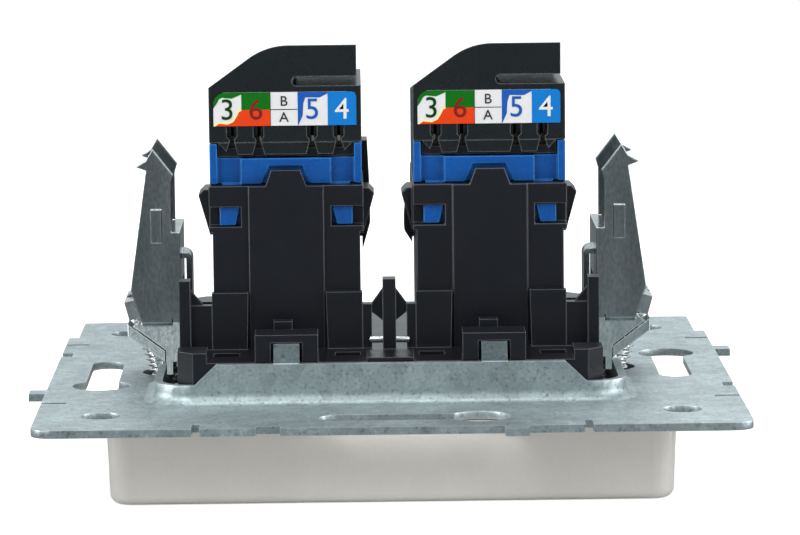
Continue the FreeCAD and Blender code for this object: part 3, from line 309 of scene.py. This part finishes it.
dress("front_cover", COVER, 0.15)
dress("mounting_frame", SHEET, 0.1)
dress("base_housing", BLACK, 0.12)
dress("rib_pin", ZINC, 0.08)
for side in SIDES:
    dress(f"jack_body_{side}", BLUE, 0.12)
    dress(f"jack_holder_{side}", BLACK, 0.12)
    dress(f"wiring_cap_{side}", CAP_BLACK, 0.12)
    dress(f"circuit_board_{side}", BOARD, 0.05, 1)
    dress(f"port_contacts_{side}", CONTACT)
    dress(f"wiring_block_{side}", BLACK, 0.1)
    dress(f"wiring_blades_{side}", BLADE_PAINTED_SHADE)
    dress(f"claw_{side}", STRIP, 0.28, 3)
    dress(f"claw_nut_{side}", ZINC, 0.15)
    for end in ENDS:
        dress(f"cap_label_{end}_{side}", INKS["white"])


# printed wiring codes on the labels, with outlines as shares across and up the film

PRINTS = [
    ("straw", [(0.0, 0.0), (0.196, 0.0), (0.196, 0.52), (0.17, 0.48), (0.155, 0.34), (0.13, 0.17),
               (0.1, 0.1), (0.04, 0.13), (0.0, 0.03)]),
    ("first", [(0.0, 0.53), (0.025, 0.68), (0.04, 0.8), (0.06, 0.85), (0.13, 0.82), (0.196, 0.94),
               (0.196, 1.0), (0.07, 1.0), (0.035, 0.94), (0.012, 0.84), (0.0, 0.7)]),
    ("second", [(0.01, 0.0), (0.196, 0.0), (0.196, 0.45), (0.18, 0.43), (0.165, 0.3), (0.14, 0.13),
                (0.1, 0.05), (0.04, 0.08)]),
    ("first", [(0.196, 0.48), (0.4, 0.48), (0.4, 1.0), (0.196, 1.0)]),
    ("second", [(0.196, 0.0), (0.4, 0.0), (0.4, 0.48), (0.196, 0.48)]),
    ("black", [(0.4, 0.47), (0.586, 0.47), (0.586, 0.495), (0.4, 0.495)]),
    ("black", [(0.397, 0.0), (0.401, 0.0), (0.401, 1.0), (0.397, 1.0)]),
    ("third", [(0.59, 0.0), (0.597, 0.04), (0.625, 0.3), (0.63, 0.66), (0.645, 0.84), (0.745, 0.83),
               (0.8, 0.95), (0.8, 1.0), (0.59, 1.0)]),
    ("fourth", [(0.8, 0.0), (1.0, 0.0)]),
]
LAST_CORNER = {
    "near": [(1.0, 0.88), (0.99, 0.97), (0.97, 1.0), (0.8, 1.0)],
    "far": [(1.0, 0.72), (0.92, 1.0), (0.8, 1.0)],
}
CODE_INKS = {
    "near": {"first": "green", "second": "orange", "third": "blue", "fourth": "sky"},
    "far": {"first": "green", "second": "orange", "third": "brown", "fourth": "brown"},
}
DIGITS = {"near": "3654", "far": "2178"}
DIGIT_PLACES = [(0.097, "dark_green"), (0.297, "dark_red"), (0.693, "third"), (0.9, "white")]
DIGIT_LEVEL, DIGIT_HEIGHT = 0.46, 0.88
CODE_PLACE, CODE_HEIGHT = 0.493, 0.42
CODE_LEVELS = {"B": 0.72, "A": 0.24}
INK_LIFT = 0.015 * MM
LAYER_LIFT = 0.002 * MM
LETTER_LIFT = 0.04 * MM
LETTER_WALL = 0.004 * MM
LETTER_STROKE = 0.008 * MM


def label_axes(node, end):
    """Where a label's shares (across, up, out) lie in the row frame."""
    low, high = (Vector(c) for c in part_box(node))
    sign = ENDS[end]
    face = low.y if sign < 0 else high.y
    origin = Vector((low.x if sign < 0 else high.x, face, low.z))
    across = Vector((-sign * (high.x - low.x), 0, 0))
    up = Vector((0, 0, high.z - low.z))
    return origin, across, up, Vector((0, sign, 0))


def print_label(side, end):
    """Lay the coloured fields of one label just off its face."""
    origin, across, up, out = label_axes(f"cap_label_{end}_{side}", end)
    inks = CODE_INKS[end]
    mesh = bpy.data.meshes.new("label_print")
    build = bmesh.new()
    names = list(INKS)
    for layer, (ink, points) in enumerate(PRINTS):
        if ink == "fourth":
            points = points + LAST_CORNER[end]
        lift = out * (INK_LIFT + layer * LAYER_LIFT)
        verts = [build.verts.new(origin + across * s + up * t + lift) for s, t in points]
        face = build.faces.new(verts)
        face.material_index = names.index(inks.get(ink, ink))
        face.normal_update()
        if face.normal.dot(out) < 0:
            face.normal_flip()
    bmesh.ops.triangulate(build, faces=build.faces)
    build.to_mesh(mesh)
    build.free()
    for ink in names:
        mesh.materials.append(INKS[ink])
    obj = bpy.data.objects.new(f"label_print_{end}_{side}", mesh)
    bpy.context.collection.objects.link(obj)
    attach(obj, "socket")


def print_codes(side, end):
    """Set the digits and the two code letters over the fields of one label."""
    origin, across, up, out = label_axes(f"cap_label_{end}_{side}", end)
    inks = CODE_INKS[end]
    letters = [(digit, share, DIGIT_LEVEL, DIGIT_HEIGHT, ink)
               for digit, (share, ink) in zip(DIGITS[end], DIGIT_PLACES)]
    letters += [(code, CODE_PLACE, level, CODE_HEIGHT, "black") for code, level in CODE_LEVELS.items()]
    for text, share, level, height, ink in letters:
        curve = bpy.data.curves.new("letter", "FONT")
        curve.body = text
        curve.align_x = "CENTER"
        curve.align_y = "CENTER"
        curve.size = up.length * height
        curve.extrude = LETTER_WALL
        curve.offset = LETTER_STROKE
        curve.materials.append(INKS[inks.get(ink, ink)])
        letter = bpy.data.objects.new(f"code_{text}_{end}_{side}", curve)
        bpy.context.collection.objects.link(letter)
        place = origin + across * share + up * level + out * LETTER_LIFT
        turn = Matrix((across.normalized(), up.normalized(), out)).transposed().to_4x4()
        letter.matrix_world = Matrix.Translation(place) @ turn
        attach(letter, "socket")


for side in SIDES:
    for end in ENDS:
        print_label(side, end)
        print_codes(side, end)


# walls between the near and far wires

WEB_SPAN, WEB_WALL = 13.4, 0.5
WEB_LEVELS = (34.0, 37.6)


def new_piece(name, build, material, body):
    mesh = bpy.data.meshes.new(name)
    build.to_mesh(mesh)
    build.free()
    mesh.materials.append(material)
    obj = bpy.data.objects.new(name, mesh)
    bpy.context.collection.objects.link(obj)
    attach(obj, body)
    return obj


def wire_web(side):
    build = bmesh.new()
    bmesh.ops.create_cube(build, size=1.0)
    low, high = WEB_LEVELS
    near_end, far_end = (corner[0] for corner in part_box(f"wiring_block_{side}"))
    centre = Matrix.Translation(((near_end + far_end) / 2, 0, (low + high) / 2 * MM))
    scale = Matrix.Diagonal(Vector((WEB_SPAN, WEB_WALL, high - low, 1 / MM))) * MM
    bmesh.ops.transform(build, matrix=centre @ scale, verts=build.verts)
    new_piece(f"wire_web_{side}", build, BLACK, "socket")


# threaded spreading screws

SCREW = {"radius": 1.7, "root": 1.3, "pitch": 0.6, "length": 10.4, "head": 2.7, "head_wall": 1.6,
         "tilt": 15.5, "x": 23.3, "z": 7.9}
THREAD_SIDES = 36
HEAD_SIDES = 48
RINGS_PER_PITCH = 8
FULL_CREST = 1.15
LEAD_IN = 0.15
HEAD_PROFILE = [(0.8, 1.0), (0.95, 0.9), (1.0, 0.7)]
HEAD_BREAK = 0.1


def skin(build, rings):
    """Join rings of points with four-sided faces and close both ends."""
    for low, high in zip(rings, rings[1:]):
        for k in range(len(low)):
            n = (k + 1) % len(low)
            build.faces.new((low[k], low[n], high[n], high[k]))
    build.faces.new(list(reversed(rings[0])))
    build.faces.new(rings[-1])


def lathe(build, profile, segments):
    """Turn (radius, z) points about Z, with a flat end at the first and the last."""
    rings = []
    for radius, z in profile:
        rings.append([build.verts.new((radius * math.cos(a), radius * math.sin(a), z))
                      for a in (2 * math.pi * k / segments for k in range(segments))])
    skin(build, rings)


def thread(build):
    """A helical thread that runs out at both ends."""
    count = round(SCREW["length"] / SCREW["pitch"] * RINGS_PER_PITCH)
    rings = []
    for i in range(count + 1):
        z = SCREW["length"] * i / count
        fade = min(1.0, (SCREW["length"] - z) / SCREW["pitch"] + LEAD_IN, z / SCREW["pitch"])
        ring = []
        for k in range(THREAD_SIDES):
            phase = (z / SCREW["pitch"] - k / THREAD_SIDES) % 1.0
            height = 1 - abs(2 * phase - 1)
            depth = (SCREW["radius"] - SCREW["root"]) * min(1.0, height * FULL_CREST) * fade
            radius = SCREW["root"] + depth
            angle = 2 * math.pi * k / THREAD_SIDES
            ring.append(build.verts.new((radius * math.cos(angle), radius * math.sin(angle), z)))
        rings.append(ring)
    skin(build, rings)


def make_screw(side):
    sign = SIDES[side]
    build = bmesh.new()
    thread(build)
    wall, radius = SCREW["head_wall"], SCREW["head"]
    profile = [(radius * width, -wall * depth) for width, depth in HEAD_PROFILE]
    lathe(build, profile + [(radius, -HEAD_BREAK), (radius - HEAD_BREAK, 0.0)], HEAD_SIDES)
    lean = Matrix.Rotation(math.radians(sign * SCREW["tilt"]), 4, "Y")
    move = Matrix.Translation(Vector((sign * SCREW["x"], 0, SCREW["z"])) * MM) @ lean @ Matrix.Scale(MM, 4)
    bmesh.ops.transform(build, matrix=move, verts=build.verts)
    screw = new_piece(f"threaded_screw_{side}", build, ZINC, f"screw_{side}")
    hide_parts(f"claw_screw_{side}")
    for face in screw.data.polygons:
        face.use_smooth = len(face.vertices) == 4
    return screw


for side in SIDES:
    wire_web(side)
    make_screw(side)


# floor, light and camera

# the world in reflections: the direction's Y where the dark zone toward the camera ends and where
# the bright round begins, their colours, and the direction's X, either way, where the side panels
# start and are full, with their gain
BEHIND_CAMERA, BESIDE_PART = -0.8, 0.15
BEHIND_COLOR = (0.36, 0.43, 0.44, 1)
ROUND_COLOR = (0.68, 0.74, 0.76, 1)
PANEL_START, PANEL_FULL, PANEL_GAIN = 0.85, 0.95, 2.0
SKY_COLOR, SKY_STRENGTH = (0.95, 0.97, 1.0, 1), 0.5
PAPER_COLOR, PAPER_GLOW = (0.9, 0.9, 0.9, 1), 0.55
MIRRORED_FLOOR = (0.17, 0.19, 0.2, 1)
FLOOR_HALF, FLOOR_DROP = 4000, 0.02
LIGHT_AIM, PANEL_AIM = (0, 0, 20), (0, 0, 30)
LAMPS = [
    ("key", (-260, -420, 420), LIGHT_AIM, (260, 260), 1.5),
    ("fill", (320, -300, 240), LIGHT_AIM, (240, 240), 0.6),
    ("back", (60, 360, 380), LIGHT_AIM, (260, 180), 0.5),
    ("left_strip", (-420, -60, 60), PANEL_AIM, (90, 300), 0.8),
    ("right_strip", (420, -60, 60), PANEL_AIM, (90, 300), 0.8),
    ("top_strip", (0, -30, 420), PANEL_AIM, (300, 80), 0.4),
]


def world_light():
    """White seen directly, bright all round in reflections except behind the camera."""
    world = bpy.data.worlds.new("studio")
    bpy.context.scene.world = world
    world.use_nodes = True
    tree = world.node_tree
    tree.nodes.clear()
    out = tree.nodes.new("ShaderNodeOutputWorld")
    path = tree.nodes.new("ShaderNodeLightPath")
    place = tree.nodes.new("ShaderNodeTexCoord")
    split = tree.nodes.new("ShaderNodeSeparateXYZ")
    tree.links.new(place.outputs["Generated"], split.inputs["Vector"])
    front = tree.nodes.new("ShaderNodeMapRange")
    front.inputs["From Min"].default_value = BEHIND_CAMERA
    front.inputs["From Max"].default_value = BESIDE_PART
    tree.links.new(split.outputs["Y"], front.inputs["Value"])
    glossy = tree.nodes.new("ShaderNodeMix")
    glossy.data_type = "RGBA"
    glossy.inputs["A"].default_value = BEHIND_COLOR
    glossy.inputs["B"].default_value = ROUND_COLOR
    tree.links.new(front.outputs["Result"], glossy.inputs["Factor"])
    sides = tree.nodes.new("ShaderNodeMath")
    sides.operation = "ABSOLUTE"
    tree.links.new(split.outputs["X"], sides.inputs[0])
    panels = tree.nodes.new("ShaderNodeMapRange")
    panels.inputs["From Min"].default_value = PANEL_START
    panels.inputs["From Max"].default_value = PANEL_FULL
    panels.inputs["To Min"].default_value = 1.0
    panels.inputs["To Max"].default_value = PANEL_GAIN
    tree.links.new(sides.outputs["Value"], panels.inputs["Value"])
    diffuse = tree.nodes.new("ShaderNodeBackground")
    diffuse.inputs["Color"].default_value = SKY_COLOR
    diffuse.inputs["Strength"].default_value = SKY_STRENGTH
    shiny = tree.nodes.new("ShaderNodeBackground")
    tree.links.new(glossy.outputs["Result"], shiny.inputs["Color"])
    tree.links.new(panels.outputs["Result"], shiny.inputs["Strength"])
    white = tree.nodes.new("ShaderNodeBackground")
    white.inputs["Color"].default_value = (1, 1, 1, 1)
    first = tree.nodes.new("ShaderNodeMixShader")
    second = tree.nodes.new("ShaderNodeMixShader")
    tree.links.new(path.outputs["Is Glossy Ray"], first.inputs["Fac"])
    tree.links.new(diffuse.outputs["Background"], first.inputs[1])
    tree.links.new(shiny.outputs["Background"], first.inputs[2])
    tree.links.new(path.outputs["Is Camera Ray"], second.inputs["Fac"])
    tree.links.new(first.outputs["Shader"], second.inputs[1])
    tree.links.new(white.outputs["Background"], second.inputs[2])
    tree.links.new(second.outputs["Shader"], out.inputs["Surface"])


def lamp(name, place, aim, size, power):
    light = bpy.data.lights.new(name, "AREA")
    light.shape = "RECTANGLE"
    light.size, light.size_y = (s * MM for s in size)
    light.energy = power
    obj = bpy.data.objects.new(name, light)
    bpy.context.collection.objects.link(obj)
    obj.location = Vector(place) * MM
    obj.rotation_euler = (Vector(aim) * MM - obj.location).to_track_quat("-Z", "Y").to_euler()


def floor():
    build = bmesh.new()
    bmesh.ops.create_grid(build, x_segments=1, y_segments=1, size=FLOOR_HALF * MM)
    mesh = bpy.data.meshes.new("floor")
    build.to_mesh(mesh)
    build.free()
    material = bpy.data.materials.new("floor_paper")
    material.use_nodes = True
    tree = material.node_tree
    shader = tree.nodes["Principled BSDF"]
    shader.inputs["Base Color"].default_value = PAPER_COLOR
    shader.inputs["Roughness"].default_value = 0.9
    glow = tree.nodes.new("ShaderNodeEmission")
    glow.inputs["Color"].default_value = (1, 1, 1, 1)
    glow.inputs["Strength"].default_value = PAPER_GLOW
    add = tree.nodes.new("ShaderNodeAddShader")
    path = tree.nodes.new("ShaderNodeLightPath")
    seen = tree.nodes.new("ShaderNodeMixShader")
    tree.links.new(shader.outputs["BSDF"], add.inputs[0])
    tree.links.new(glow.outputs["Emission"], add.inputs[1])
    tree.links.new(path.outputs["Is Camera Ray"], seen.inputs["Fac"])
    tree.links.new(shader.outputs["BSDF"], seen.inputs[1])
    tree.links.new(add.outputs["Shader"], seen.inputs[2])
    dark = tree.nodes.new("ShaderNodeEmission")
    dark.inputs["Color"].default_value = MIRRORED_FLOOR
    mirrored = tree.nodes.new("ShaderNodeMixShader")
    tree.links.new(path.outputs["Is Glossy Ray"], mirrored.inputs["Fac"])
    tree.links.new(seen.outputs["Shader"], mirrored.inputs[1])
    tree.links.new(dark.outputs["Emission"], mirrored.inputs[2])
    tree.links.new(mirrored.outputs["Shader"], tree.nodes["Material Output"].inputs["Surface"])
    mesh.materials.append(material)
    obj = bpy.data.objects.new("floor", mesh)
    bpy.context.collection.objects.link(obj)
    obj.location.z = -FLOOR_DROP * MM


CAMERA_PLACE = (-3.47, -440.14, 79.95)
CAMERA_DOWN, CAMERA_TURN, CAMERA_ROLL = 7.776, -0.618, -0.604
FOCAL_PIXELS = 4202.56
PHOTO_WIDTH = 800
SENSOR_WIDTH = 36
CLIP_NEAR, CLIP_FAR = 10, 20000


def camera():
    data = bpy.data.cameras.new("camera")
    data.sensor_width = SENSOR_WIDTH
    data.lens = FOCAL_PIXELS / PHOTO_WIDTH * data.sensor_width
    data.clip_start = CLIP_NEAR * MM
    data.clip_end = CLIP_FAR * MM
    obj = bpy.data.objects.new("camera", data)
    bpy.context.collection.objects.link(obj)
    down, turn, roll = (math.radians(a) for a in (CAMERA_DOWN, CAMERA_TURN, CAMERA_ROLL))
    ahead = Vector((-math.sin(turn) * math.cos(down), math.cos(turn) * math.cos(down), -math.sin(down)))
    right = Vector((math.cos(turn), math.sin(turn), 0))
    up = right.cross(ahead)
    right, up = math.cos(roll) * right + math.sin(roll) * up, math.cos(roll) * up - math.sin(roll) * right
    turned = Matrix((right, up, -ahead)).transposed().to_4x4()
    obj.matrix_world = Matrix.Translation(Vector(CAMERA_PLACE) * MM) @ turned
    bpy.context.scene.camera = obj


world_light()
floor()
camera()
for name, place, aim, size, power in LAMPS:
    lamp(name, place, aim, size, power)
bpy.context.scene.view_settings.view_transform = "Standard"
